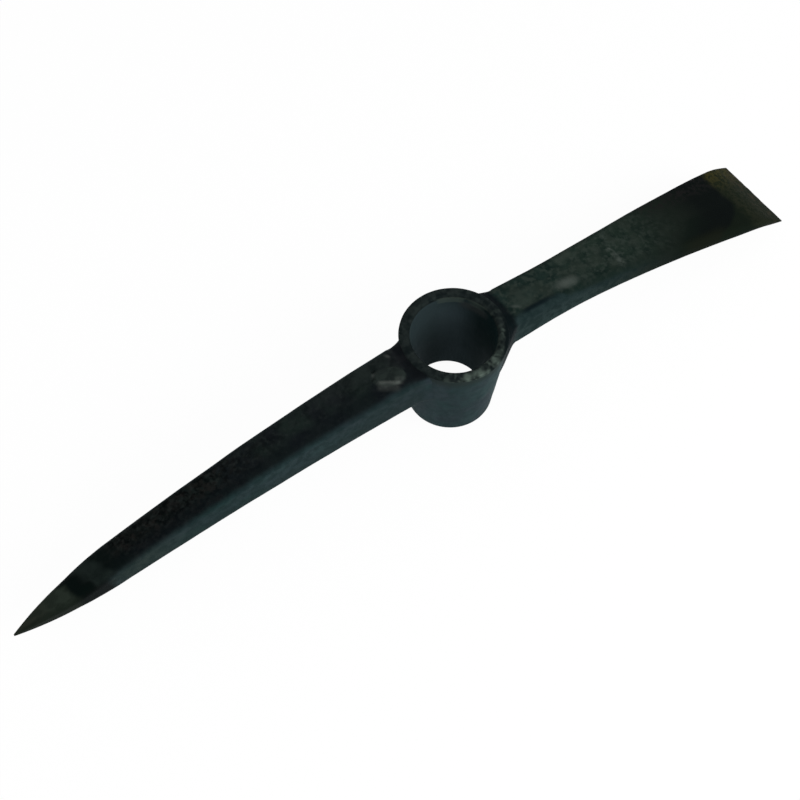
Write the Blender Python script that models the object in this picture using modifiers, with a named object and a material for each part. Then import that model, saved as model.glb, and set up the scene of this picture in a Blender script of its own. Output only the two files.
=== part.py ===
"""Head of a round-eye pick: eye collar, pointed arm, bladed arm, hard steel ends and root welds."""

import math
from collections import namedtuple

import bmesh
import bpy
from mathutils import Matrix, Vector

MM = 0.001

# Eye collar: a tapered tube, open at both ends, which takes a handle pushed in from its wide end
EYE_LENGTH = 60 * MM
BORE_TOP_DIAMETER = 46 * MM
BORE_BOTTOM_DIAMETER = 39 * MM
WALL_TOP = 6.0 * MM
WALL_BOTTOM = 4.4 * MM
RIM_ROUNDING = 1.4 * MM
MOUTH_LEAD_IN = 1.8 * MM  # slope at the bore's wide mouth
BASE_LEAD_IN = 0.9 * MM  # slope on both sides of the collar's wall at its base

# Both arms
RIM_STEP = 0.8 * MM  # from the collar's rim down to the top of each arm's root
CORNER_RADIUS = 4.0 * MM
CORNER_SHARE = 0.4  # where an arm is thin, its corners take at most this share of its thickness
THIN_END = 0.8 * MM  # what is left of a ground point or edge
SCARF_LEAN = math.radians(35)  # the joint to a hard end leans this far from square

# Pointed arm
POINT_REACH = 261 * MM  # from the eye's axis to the tip
POINT_ROOT_WIDTH = 26.6 * MM
POINT_ROOT_DEPTH = 25.6 * MM
POINT_SHOULDER_WIDTH = 17.6 * MM
POINT_SHOULDER_DEPTH = 18.2 * MM
POINT_DEPTH_CURVE = 1.5
POINT_TAPER_LENGTH = 58 * MM
POINT_WIDTH_ROUNDNESS = 2.0
POINT_DEPTH_ROUNDNESS = 1.2
POINT_DROOP = 28.5 * MM
POINT_STEEL_LENGTH = 42 * MM
POINT_WELD_CLIMB = 2.0 * MM  # up the collar at the arm's sides

# Bladed arm
BLADE_REACH = 225 * MM  # from the eye's axis to the cutting edge
BLADE_ROOT_WIDTH = 26.0 * MM
BLADE_ROOT_DEPTH = 23.6 * MM
BLADE_EDGE_WIDTH = 49 * MM
BLADE_END_DEPTH = 7.2 * MM
BLADE_DEPTH_CURVE = 1.4
BLADE_NECK_LENGTH = 29 * MM  # it stays narrow this far from the collar
BLADE_SPREAD_BLEND = 0.65  # 1 spreads in an S curve, 0 in a straight line
BLADE_BEVEL_LENGTH = 22 * MM
BLADE_DROOP = 27.5 * MM
BLADE_STEEL_LENGTH = 38 * MM
BLADE_WELD_CLIMB = 3.2 * MM

# Root welds: a ring of metal in the groove round each arm's coped end
WELD_LEG = 5 * MM  # from the collar along the arm
WELD_TOE = 0.8 * MM  # depth of the groove at its far end
WELD_DEPTH = 2.6 * MM  # depth of the groove at the collar
WELD_RISE = 0.3 * MM  # on top of an arm, the weld climbs this far up the collar
WELD_SAG = 0.4 * MM  # its face is hollow by this much
WELD_SHARPEST = 0.2  # under a weld, the arm's corners keep at least this share of their rounding

# Raised pads on top of the arms, left bare
PAD_LENGTH = 18 * MM
PAD_WIDTH = 12.5 * MM
PAD_HEIGHT = 0.9 * MM
PAD_SUNK = 1.8 * MM
PAD_SOFT_EDGE = 0.7 * MM
PAD_TO_WELD = 1 * MM

# Touching pieces keep this gap
GAP = 0.3 * MM

# Fineness of the faceted surfaces
ROUND_SEGMENTS = 80
ROUNDING_STEPS = 4
CORNER_STEPS = 4
SIDE_STEPS = 4
BODY_RINGS = 14
TAPER_RINGS = 8
WELD_FACE_STEPS = 5
PAD_EDGE_STEPS = 3
FITTING_PASSES = 4  # a weld's end is fitted to the collar's wall in this many passes
MERGE_LENGTH = 0.01 * MM
SHARP_ANGLE = math.radians(35)

# Derived: the collar's radii, where arms start before they are coped, where the welds end,
# and the eye's place, with x = 0 at the middle of the head's length
RIM_RADIUS = BORE_TOP_DIAMETER / 2 + WALL_TOP
BASE_RADIUS = BORE_BOTTOM_DIAMETER / 2 + WALL_BOTTOM
ARM_START = RIM_RADIUS / 2
WELD_END = RIM_RADIUS + WELD_LEG
EYE_X = (POINT_REACH - BLADE_REACH) / 2

Arm = namedtuple("Arm", "side reach root_depth droop taper_length steel_length weld_climb sizes")


def ease(part):
    return part * part * (3 - 2 * part)


def between(low, high, value):
    """How far a value lies from low to high, held to 0 and 1."""
    return min(max((value - low) / (high - low), 0.0), 1.0)


def point_sizes(distance):
    """Width and depth of the pointed arm, and its middle's drop from grinding: a taper, then a pyramid."""
    shoulder = POINT_REACH - POINT_TAPER_LENGTH
    along = between(RIM_RADIUS, shoulder, distance)
    width = POINT_ROOT_WIDTH + (POINT_SHOULDER_WIDTH - POINT_ROOT_WIDTH) * along
    depth = POINT_ROOT_DEPTH + (POINT_SHOULDER_DEPTH - POINT_ROOT_DEPTH) * along**POINT_DEPTH_CURVE
    gone = between(shoulder, POINT_REACH, distance)
    width = THIN_END + (width - THIN_END) * (1 - gone**POINT_WIDTH_ROUNDNESS)
    depth = THIN_END + (depth - THIN_END) * (1 - gone**POINT_DEPTH_ROUNDNESS)
    return width, depth, 0.0


def blade_sizes(distance):
    """The same for the bladed arm: it spreads and thins, and a bevel is ground off the top of its end."""
    spread = between(RIM_RADIUS + BLADE_NECK_LENGTH, BLADE_REACH, distance)
    spread = BLADE_SPREAD_BLEND * ease(spread) + (1 - BLADE_SPREAD_BLEND) * spread
    width = BLADE_ROOT_WIDTH + (BLADE_EDGE_WIDTH - BLADE_ROOT_WIDTH) * spread
    left = 1 - between(RIM_RADIUS, BLADE_REACH, distance)
    full = BLADE_END_DEPTH + (BLADE_ROOT_DEPTH - BLADE_END_DEPTH) * left**BLADE_DEPTH_CURVE
    ground = between(BLADE_REACH - BLADE_BEVEL_LENGTH, BLADE_REACH, distance)
    depth = full + (THIN_END - full) * ground
    return width, depth, (full - depth) / 2


POINT = Arm(
    side=-1,
    reach=POINT_REACH,
    root_depth=POINT_ROOT_DEPTH,
    droop=POINT_DROOP,
    taper_length=POINT_TAPER_LENGTH,
    steel_length=POINT_STEEL_LENGTH,
    weld_climb=POINT_WELD_CLIMB,
    sizes=point_sizes,
)
BLADE = Arm(
    side=1,
    reach=BLADE_REACH,
    root_depth=BLADE_ROOT_DEPTH,
    droop=BLADE_DROOP,
    taper_length=BLADE_BEVEL_LENGTH,
    steel_length=BLADE_STEEL_LENGTH,
    weld_climb=BLADE_WELD_CLIMB,
    sizes=blade_sizes,
)


def clear_scene():
    for item in list(bpy.data.objects):
        bpy.data.objects.remove(item, do_unlink=True)


def make_collection(name):
    collection = bpy.data.collections.new(name)
    bpy.context.scene.collection.children.link(collection)
    return collection


def make_material(name, color, roughness, metallic):
    material = bpy.data.materials.new(name)
    material.use_nodes = True
    shader = material.node_tree.nodes["Principled BSDF"]
    shader.inputs["Base Color"].default_value = (*color, 1)
    shader.inputs["Roughness"].default_value = roughness
    shader.inputs["Metallic"].default_value = metallic
    material.diffuse_color = (*color, 1)
    return material


def add_object(name, mesh, collection, material=None):
    item = bpy.data.objects.new(name, mesh)
    collection.objects.link(item)
    if material:
        mesh.materials.append(material)
    return item


def take_primitive(name, collection):
    """Names the primitive that was just added and moves it to a collection."""
    item = bpy.context.active_object
    item.name = name
    item.data.name = name
    for owner in item.users_collection:
        owner.objects.unlink(item)
    collection.objects.link(item)
    return item


def make_helper(item):
    item.hide_render = True
    item.display_type = "WIRE"


def turned(name, profile, collection, material=None):
    """A profile of (radius, height), its outer side running down, turned round the eye's axis."""
    count = len(profile)
    edges = [(index, index + 1) for index in range(count - 1)]
    if profile[0][0] > 0:
        edges.append((count - 1, 0))
    mesh = bpy.data.meshes.new(name)
    mesh.from_pydata([(radius, 0, height) for radius, height in profile], edges, [])
    item = add_object(name, mesh, collection, material)
    item.location.x = EYE_X
    screw = item.modifiers.new("Turn", "SCREW")
    screw.steps = ROUND_SEGMENTS
    screw.render_steps = ROUND_SEGMENTS
    screw.use_merge_vertices = True
    screw.merge_threshold = MERGE_LENGTH
    return item


def combine(item, other, operation):
    boolean = item.modifiers.new(other.name, "BOOLEAN")
    boolean.operation = operation
    boolean.object = other


def finish(item):
    """Applies the modifiers and shades the piece smooth between its sharp edges."""
    graph = bpy.context.evaluated_depsgraph_get()
    mesh = bpy.data.meshes.new_from_object(item.evaluated_get(graph))
    mesh.name = item.name
    item.modifiers.clear()
    item.data = mesh
    mesh.shade_smooth()
    mesh.set_sharp_from_angle(angle=SHARP_ANGLE)


def loft(name, rings, joined_round=False):
    """Faces between rings of points, capped at both ends or joined last to first."""
    count = len(rings[0])
    work = bmesh.new()
    corners = [[work.verts.new(point) for point in ring] for ring in rings]
    pairs = list(zip(corners, corners[1:]))
    if joined_round:
        pairs.append((corners[-1], corners[0]))
    else:
        work.faces.new(corners[0])
        work.faces.new(corners[-1])
    for here, there in pairs:
        for index in range(count):
            after = (index + 1) % count
            work.faces.new((here[index], here[after], there[after], there[index]))
    bmesh.ops.recalc_face_normals(work, faces=work.faces)
    mesh = bpy.data.meshes.new(name)
    work.to_mesh(mesh)
    work.free()
    return mesh


def collar_radius(height):
    """Outer radius of the collar, which tapers evenly from its rim to its base."""
    return BASE_RADIUS + (RIM_RADIUS - BASE_RADIUS) * height / EYE_LENGTH


def middle_height(arm, distance):
    """Height of the middle of an arm, on an arc that leaves the collar level, before any grinding."""
    along = max(distance - RIM_RADIUS, 0) / (arm.reach - RIM_RADIUS)
    return EYE_LENGTH - RIM_STEP - arm.root_depth / 2 - arm.droop * along**2


def section(arm, distance, grown=0.0):
    """Points round an arm at a distance from the eye's axis: a rounded rectangle, grown on all sides."""
    width, depth, dropped = arm.sizes(distance)
    middle = middle_height(arm, distance) - dropped
    radius = min(CORNER_RADIUS, CORNER_SHARE * width, CORNER_SHARE * depth)
    radius = max(radius + grown, WELD_SHARPEST * radius)
    flat_y = width / 2 + grown - radius
    flat_z = depth / 2 + grown - radius
    corners = ((1, 1), (-1, 1), (-1, -1), (1, -1))
    points = []
    for quarter, (side_y, side_z) in enumerate(corners):
        for step in range(CORNER_STEPS + 1):
            angle = math.radians(90 * (quarter + step / CORNER_STEPS))
            out_y, out_z = radius * math.cos(angle), radius * math.sin(angle)
            points.append((side_y * flat_y + out_y, middle + side_z * flat_z + out_z))
        next_y, next_z = corners[(quarter + 1) % 4]
        for step in range(1, SIDE_STEPS):
            part = step / SIDE_STEPS
            y = (side_y + (next_y - side_y) * part) * flat_y + out_y
            z = (side_z + (next_z - side_z) * part) * flat_z + out_z
            points.append((y, middle + z))
    return points


def groove_depth(distance):
    """Depth of the weld's groove in an arm: it deepens evenly towards the collar and on under its skin."""
    return WELD_TOE + (WELD_DEPTH - WELD_TOE) * (WELD_END - distance) / WELD_LEG


def arm_blank(arm, name):
    """A whole arm from inside the collar to its end, with the weld's groove round its root."""
    shoulder = arm.reach - arm.taper_length
    rings = []
    for distance in (ARM_START, RIM_RADIUS, WELD_END - MERGE_LENGTH):
        rings.append((distance, section(arm, distance, -groove_depth(distance))))
    for step in range(BODY_RINGS):
        distance = WELD_END + (shoulder - WELD_END) * step / BODY_RINGS
        rings.append((distance, section(arm, distance)))
    for step in range(TAPER_RINGS + 1):
        distance = shoulder + arm.taper_length * step / TAPER_RINGS
        rings.append((distance, section(arm, distance)))
    return loft(name, [[(EYE_X + arm.side * distance, y, z) for y, z in ring] for distance, ring in rings])


def weld_point(arm, index, part, sunk):
    """A point of a weld: a part of the way from its toe to the collar's wall, and from its face to its floor.

    The hollow face climbs the collar least on top of the arm, more at its sides and most below it.
    """
    climb = arm.weld_climb * part**2
    lowered = (arm.weld_climb - WELD_RISE) * part**2
    toe = WELD_END - GAP
    distance = toe
    for _ in range(FITTING_PASSES):
        face_y, face_z = section(arm, distance, climb - 4 * WELD_SAG * part * (1 - part))[index]
        floor_y, floor_z = section(arm, distance, GAP - groove_depth(distance))[index]
        y = face_y + (floor_y - face_y) * sunk
        z = face_z - lowered + (floor_z - face_z + lowered) * sunk
        wall = math.sqrt((collar_radius(z) + GAP) ** 2 - y * y)
        distance = toe + (wall - toe) * part
    return EYE_X + arm.side * distance, y, z


def root_weld(arm, name):
    """Weld metal round an arm's root: it fills the groove and meets the collar in a hollow curve."""
    rings = []
    for index in range(len(section(arm, WELD_END))):
        ring = []
        for step in range(WELD_FACE_STEPS + 1):
            ring.append(weld_point(arm, index, step / WELD_FACE_STEPS, 0))
        ring.append(weld_point(arm, index, 1, 0.5))
        ring.append(weld_point(arm, index, 1, 1))
        ring.append(weld_point(arm, index, 0, 1))
        rings.append(ring)
    return loft(name, rings, joined_round=True)


def scarf_cutter(name, arm, cuts_outside, collection):
    """A block with one face on the leaning joint, which cuts off all that lies on one side of it."""
    size = 2 * (POINT_REACH + BLADE_REACH)
    distance = arm.reach - arm.steel_length
    joint = Vector((EYE_X + arm.side * distance, 0, middle_height(arm, distance)))
    lean = arm.side * SCARF_LEAN
    turn = Matrix.Rotation(lean, 4, "Y")
    outwards = turn @ Vector((arm.side, 0, 0))
    way = 1 if cuts_outside else -1
    bpy.ops.mesh.primitive_cube_add(size=size)
    block = take_primitive(name, collection)
    block.matrix_world = Matrix.Translation(joint + outwards * way * (size - GAP) / 2) @ turn
    make_helper(block)
    return block


def pad(name, arm, collection):
    """A low oval with soft edges, partly sunk in the top of an arm beside its weld."""
    near = WELD_END + PAD_TO_WELD
    tops = [max(z for _, z in section(arm, distance)) for distance in (near, near + PAD_LENGTH)]
    slope = arm.side * math.atan2(tops[0] - tops[1], PAD_LENGTH)
    bpy.ops.mesh.primitive_cylinder_add(vertices=ROUND_SEGMENTS // 2, radius=0.5, depth=1)
    oval = take_primitive(name, collection)
    oval.data.transform(Matrix.Diagonal((PAD_LENGTH, PAD_WIDTH, PAD_HEIGHT + PAD_SUNK, 1)))
    place = Vector((EYE_X + arm.side * (near + PAD_LENGTH / 2), 0, (sum(tops) + PAD_HEIGHT - PAD_SUNK) / 2))
    oval.matrix_world = Matrix.Translation(place) @ Matrix.Rotation(slope, 4, "Y")
    bevel = oval.modifiers.new("Soft edge", "BEVEL")
    bevel.width = PAD_SOFT_EDGE
    bevel.segments = PAD_EDGE_STEPS
    make_helper(oval)
    return oval


def eye_collar(collection, material):
    """A turned tube: rounded rim, tapered outside, and a tapered bore with a slope at both mouths."""
    rounding_height = EYE_LENGTH - RIM_ROUNDING
    rounding_radius = collar_radius(rounding_height) - RIM_ROUNDING
    profile = []
    for step in range(ROUNDING_STEPS + 1):
        angle = math.radians(90 * (1 - step / ROUNDING_STEPS))
        radius = rounding_radius + RIM_ROUNDING * math.cos(angle)
        profile.append((radius, rounding_height + RIM_ROUNDING * math.sin(angle)))
    profile += [
        (collar_radius(BASE_LEAD_IN), BASE_LEAD_IN),
        (BASE_RADIUS - BASE_LEAD_IN, 0),
        (BORE_BOTTOM_DIAMETER / 2 + BASE_LEAD_IN, 0),
        (BORE_BOTTOM_DIAMETER / 2, BASE_LEAD_IN),
        (BORE_TOP_DIAMETER / 2, EYE_LENGTH - MOUTH_LEAD_IN),
        (BORE_TOP_DIAMETER / 2 + MOUTH_LEAD_IN, EYE_LENGTH),
    ]
    finish(turned("eye_collar", profile, collection, material))


def cope_cutter(collection):
    """The collar's outer shape, a gap larger and longer at both ends, which copes the arms to it."""
    over = POINT_ROOT_DEPTH
    profile = [
        (0, EYE_LENGTH + over),
        (collar_radius(EYE_LENGTH + over) + GAP, EYE_LENGTH + over),
        (collar_radius(0) + GAP, 0),
        (0, 0),
    ]
    cutter = turned("cope_cutter", profile, collection)
    make_helper(cutter)
    return cutter


def add_arm(arm, names, parts, cutters, cope, materials):
    """One arm with its hard end and its root weld."""
    bar_name, end_name, weld_name = names
    coated, ground, weld_metal = materials
    bar = add_object(bar_name, arm_blank(arm, bar_name), parts, coated)
    combine(bar, pad(f"{bar_name}_pad", arm, cutters), "UNION")
    combine(bar, cope, "DIFFERENCE")
    combine(bar, scarf_cutter(f"{bar_name}_scarf", arm, True, cutters), "DIFFERENCE")
    finish(bar)

    end = add_object(end_name, arm_blank(arm, end_name), parts, ground)
    combine(end, scarf_cutter(f"{end_name}_scarf", arm, False, cutters), "DIFFERENCE")
    finish(end)

    finish(add_object(weld_name, root_weld(arm, weld_name), parts, weld_metal))


clear_scene()
parts = make_collection("pickaxe_head")
cutters = make_collection("cutters")
materials = (
    make_material("coated_forged_steel", (0.028, 0.042, 0.044), 0.42, 0.7),
    make_material("ground_hard_steel", (0.16, 0.16, 0.11), 0.38, 0.9),
    make_material("coated_weld_metal", (0.018, 0.026, 0.03), 0.5, 0.7),
)
eye_collar(parts, materials[0])
cope = cope_cutter(cutters)
add_arm(POINT, ("point_arm", "point_tip", "point_root_weld"), parts, cutters, cope, materials)
add_arm(BLADE, ("blade_arm", "blade_edge", "blade_root_weld"), parts, cutters, cope, materials)
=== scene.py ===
"""Looks of a round-eye pick head: forged collar and arms in a blue-black coat, ground ends and root welds."""
import math

import bmesh
import bpy
import numpy as np
from mathutils import Matrix, Vector, noise


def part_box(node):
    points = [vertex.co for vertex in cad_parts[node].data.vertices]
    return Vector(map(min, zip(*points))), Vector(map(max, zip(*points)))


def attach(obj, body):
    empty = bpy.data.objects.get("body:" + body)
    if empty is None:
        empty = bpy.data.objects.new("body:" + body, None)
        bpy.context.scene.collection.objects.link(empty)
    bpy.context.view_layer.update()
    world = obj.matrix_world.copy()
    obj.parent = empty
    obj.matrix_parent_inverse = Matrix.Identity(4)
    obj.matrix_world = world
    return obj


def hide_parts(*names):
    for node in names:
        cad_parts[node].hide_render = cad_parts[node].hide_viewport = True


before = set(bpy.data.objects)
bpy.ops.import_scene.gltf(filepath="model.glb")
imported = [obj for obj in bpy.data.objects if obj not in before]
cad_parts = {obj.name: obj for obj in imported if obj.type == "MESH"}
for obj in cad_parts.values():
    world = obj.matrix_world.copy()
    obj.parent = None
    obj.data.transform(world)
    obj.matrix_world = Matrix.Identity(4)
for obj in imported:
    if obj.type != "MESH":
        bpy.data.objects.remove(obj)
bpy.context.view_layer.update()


# Eye collar
# The tapered tube that takes the handle, forged in one heat round a drift and coated blue-black like the
# arms. Its rim is rubbed bright in specks where heads lie on each other, most on the near side. Painted
# light and shade lie in its bore and on its outside, painted shade beside the bladed arm, and painted
# highlights on its inner lip.
collar_low, collar_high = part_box("eye_collar")
EYE_X = (collar_low.x + collar_high.x) / 2
EYE_LENGTH = 0.060
RIM_RADIUS = 0.029
BASE_RADIUS = 0.0239
BORE_RADIUS_AT_RIM = 0.023
BORE_RADIUS_AT_BASE = 0.0195
RIM_ROUNDING = 0.0014
MOUTH_ROUNDING = 0.0024
MERGE_DISTANCE = 0.00001
DENTS_SET_IN = (0.0005, 0.004)  # heights above the base
BORE_SIDE = (0.0215, 0.0200)  # radii at the base that part the outside from the bore
MM_PER_METRE = 1000


class Tree:
    """A node tree in the making. node() adds a node: its type, its settings, then what its sockets get."""

    def __init__(self, tree):
        self.tree = tree

    def node(self, kind, settings=None, inputs=None, output=0):
        node = self.tree.nodes.new(kind)
        for key, value in (settings or {}).items():
            setattr(node, key, value)
        for key, value in (inputs or {}).items():
            if isinstance(value, Socket):
                self.tree.links.new(value.link, node.inputs[key])
            else:
                node.inputs[key].default_value = value
        if isinstance(output, tuple):
            return tuple(Socket(self, node.outputs[key]) for key in output)
        return Socket(self, node.outputs[output]) if len(node.outputs) else None


class Socket:
    """A node's output. Arithmetic on it adds Math nodes, so that a pattern is written as a formula."""

    def __init__(self, tree, link):
        self.tree = tree
        self.link = link

    def math(self, operation, *others):
        return self.tree.node("ShaderNodeMath", {"operation": operation}, dict(enumerate((self, *others))))

    def __add__(self, other):
        return self.math("ADD", other)

    def __mul__(self, other):
        return self.math("MULTIPLY", other)

    __radd__ = __add__
    __rmul__ = __mul__

    def __sub__(self, other):
        return self.math("SUBTRACT", other)

    def __rsub__(self, other):
        return -1 * self + other

    def __truediv__(self, other):
        return self.math("DIVIDE", other)

    def __pow__(self, other):
        return self.math("POWER", other)

    def __abs__(self):
        return self.math("ABSOLUTE")

    def rise(self, low, high):
        """0 below low and 1 above high, smooth between. With low above high it falls instead."""
        return self.tree.node(
            "ShaderNodeMapRange",
            {"interpolation_type": "SMOOTHSTEP"},
            {"Value": self, "From Min": low, "From Max": high},
        )

    def near(self, middle, outer, inner):
        """1 within inner of a middle value and 0 beyond outer, smooth between."""
        return abs(self - middle).rise(outer, inner)

    def capped(self):
        return self.math("MINIMUM", 1.0)


class ShapeTree(Tree):
    """A Geometry Nodes tree with named inputs, given as label: (socket type, value)."""

    def __init__(self, name, sizes):
        super().__init__(bpy.data.node_groups.new(name, "GeometryNodeTree"))
        self.sizes = sizes
        face = self.tree.interface
        face.new_socket("Geometry", in_out="INPUT", socket_type="NodeSocketGeometry")
        face.new_socket("Geometry", in_out="OUTPUT", socket_type="NodeSocketGeometry")
        for label, (kind, _) in sizes.items():
            face.new_socket(label, in_out="INPUT", socket_type="NodeSocket" + kind)
        self.given = self.tree.nodes.new("NodeGroupInput")

    def size(self, label):
        return Socket(self, self.given.outputs[label])

    def finish(self, geometry, piece):
        """Ends the tree, runs it on a piece and keeps the result as the piece's plain mesh."""
        real = self.node("GeometryNodeRealizeInstances", None, {0: geometry})
        coated = self.node("GeometryNodeSetMaterial", None, {
            "Geometry": real, "Material": self.size("Finish")})
        self.node("NodeGroupOutput", None, {0: coated})
        modifier = piece.modifiers.new(self.tree.name, "NODES")
        modifier.node_group = self.tree
        for item in self.tree.interface.items_tree:
            if item.in_out == "INPUT" and item.name in self.sizes:
                modifier[item.identifier] = self.sizes[item.name][1]
        graph = bpy.context.evaluated_depsgraph_get()
        mesh = bpy.data.meshes.new_from_object(piece.evaluated_get(graph), depsgraph=graph)
        mesh.name = piece.name
        piece.modifiers.clear()
        piece.data = mesh
        return piece


class Finish(Tree):
    """A steel's material. Its patterns are laid out in millimetres from the foot of the eye's axis."""

    def __init__(self, name):
        self.material = bpy.data.materials.new(name)
        self.material.use_nodes = True
        super().__init__(self.material.node_tree)
        self.tree.nodes.clear()
        spot, facing = self.node("ShaderNodeTexCoord", output=("Object", "Normal"))
        self.spot = self.node("ShaderNodeMapping", None, {
            "Vector": spot, "Location": (-MM_PER_METRE * EYE_X, 0, 0), "Scale": 3 * (MM_PER_METRE,)})
        self.x, self.y, self.z = self.node("ShaderNodeSeparateXYZ", None, {0: self.spot}, output=(0, 1, 2))
        self.upward = self.node("ShaderNodeSeparateXYZ", None, {0: facing}, output=2)
        self.below = self.node("ShaderNodeAttribute", {"attribute_name": "below"}, output="Fac")
        self.inset = self.node("ShaderNodeAttribute", {"attribute_name": "inset"}, output="Fac")

    def toward(self, x, y):
        """How far a place lies from the eye's axis in a level direction."""
        return x * self.x + y * self.y

    def away(self, x, y):
        """How far a place lies from an upright line."""
        return ((self.x - x) ** 2 + (self.y - y) ** 2) ** 0.5

    def stretched(self, x, y, z):
        return self.node("ShaderNodeVectorMath", {"operation": "MULTIPLY"}, {0: self.spot, 1: (x, y, z)})

    def grain(self, width, detail=2.0, roughness=0.5, at=None):
        """A soft random pattern from 0 to 1 with marks about so many millimetres wide."""
        return self.node("ShaderNodeTexNoise", None, {
            "Vector": at or self.spot, "Scale": 1 / width, "Detail": detail, "Roughness": roughness})

    def wander(self, amount, width, at=None):
        """A soft random shift to both sides of 0, for a border that isn't straight."""
        return amount * (self.grain(width, at=at) - 0.5)

    def mix(self, low, high, part):
        """A colour so far from low to high."""
        low, high = (value if isinstance(value, Socket) else (*value, 1) for value in (low, high))
        return self.node("ShaderNodeMix", {"data_type": "RGBA"}, {0: part, 6: low, 7: high}, output=2)

    def layered(self, color, *layers):
        """A colour under layers of others, each with how far it covers what is below it."""
        for layer, part in layers:
            color = self.mix(color, layer, part)
        return color

    def done(self, color, roughness, metallic, relief, depth, shine=0.02):
        """Joins colour, roughness, metallic and a relief of so many millimetres to the surface."""
        bump = self.node("ShaderNodeBump", None, {
            "Height": relief, "Distance": depth / MM_PER_METRE, "Strength": 1.0})
        surface = self.node("ShaderNodeBsdfPrincipled", None, {
            "Base Color": color, "Roughness": roughness, "Metallic": metallic, "Normal": bump,
            "Specular IOR Level": shine, "Specular Tint": (*COAT_SHEEN, 1)})
        self.node("ShaderNodeOutputMaterial", None, {"Surface": surface})
        return self.material


COAT_SHEEN = (0.6, 0.9, 1.0)
COAT_TEAL = (0.0160, 0.0340, 0.0350)
COAT_BLUE = (0.0200, 0.0305, 0.0360)
COAT_DARK = (0.0080, 0.0170, 0.0180)
COLLAR_LIT_LEFT = (0.0260, 0.0430, 0.0480)
COLLAR_SHADE_FRONT = (0.0125, 0.0225, 0.0250)
COLLAR_UNDER_RIM = (0.0130, 0.0190, 0.0160)
COLLAR_SHADE_BY_BLADE = (0.0036, 0.0056, 0.0062)
BORE_SHADE = (0.0050, 0.0125, 0.0130)
BORE_LIT = (0.0430, 0.0640, 0.0720)
BORE_LIT_LEFT = (0.0262, 0.0405, 0.0440)
BORE_LIGHT_UNDER_LIP = (0.0290, 0.0350, 0.0350)
RIM_DARK = (0.0045, 0.0070, 0.0072)
RIM_COAT = (0.0115, 0.0155, 0.0150)
RIM_SHADE_BY_BLADE = (0.0024, 0.0045, 0.0050)
WORN_STEEL_AND_HIGHLIGHT = (0.0600, 0.0800, 0.0680)
RUBBED_ON_RIM = ((7.9, -24.2, 0.2), (-2.8, -27.0, 1.0), (-9.7, -25.2, 1.2),
                 (12.6, -22.6, 0.3), (8.6, -26.4, 0.4), (-5.6, -26.0, 0.4))
RUBBED_RADIUS = 3.2


def coat_color(finish):
    """The blue-black coat on forged sides: teal and blue in soft clouds, darker where it lies thick."""
    return finish.layered(
        COAT_TEAL,
        (COAT_BLUE, finish.grain(15).rise(0.38, 0.62)),
        (COAT_DARK, 0.45 * finish.grain(4.2, roughness=0.55).rise(0.36, 0.64)),
    )


def coat_relief(finish):
    """Forging scale under the coat: shallow dimples, with fine grit on them."""
    return 0.65 * finish.grain(5.5, detail=3) + 0.35 * finish.grain(0.9, detail=3, roughness=0.6)


def rim_wear_and_lip_highlights(finish, reach, on_rim, at_blade):
    """Where the collar shows bare steel from rubbing, in specks and spots on its rim, and painted highlights
    on two stretches of its lip.
    """
    specks = finish.grain(3.0, detail=1).rise(0.40, 0.66)
    patches = finish.grain(8, at=finish.stretched(1, -1, 1)).rise(0.38, 0.62)
    near_side = finish.toward(0.40, -0.92).rise(4, 22)
    worn_and_highlit = 0.80 * specks * (0.30 + 0.70 * patches) * (0.10 + 0.90 * near_side)
    for x, y, strength in RUBBED_ON_RIM:
        worn_and_highlit = worn_and_highlit + strength * finish.away(x, y).rise(RUBBED_RADIUS, 0)
    # Painted highlights on the lower part of the lip's rounding, on its far side and towards the blade.
    on_lip = finish.z.rise(54.6, 55.6) * finish.z.rise(59.2, 58.4) * (25.0 - reach).rise(0, 0.5)
    far_lip_highlight = finish.toward(0.52, 0.85).rise(21.3, 22.1)
    right_lip_highlight = finish.toward(0.92, 0.38).rise(21.8, 23.0)
    return (on_rim * worn_and_highlit.capped() * (1 - at_blade) + on_lip * (0.52 * far_lip_highlight + 0.55 * right_lip_highlight)).capped()


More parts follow.
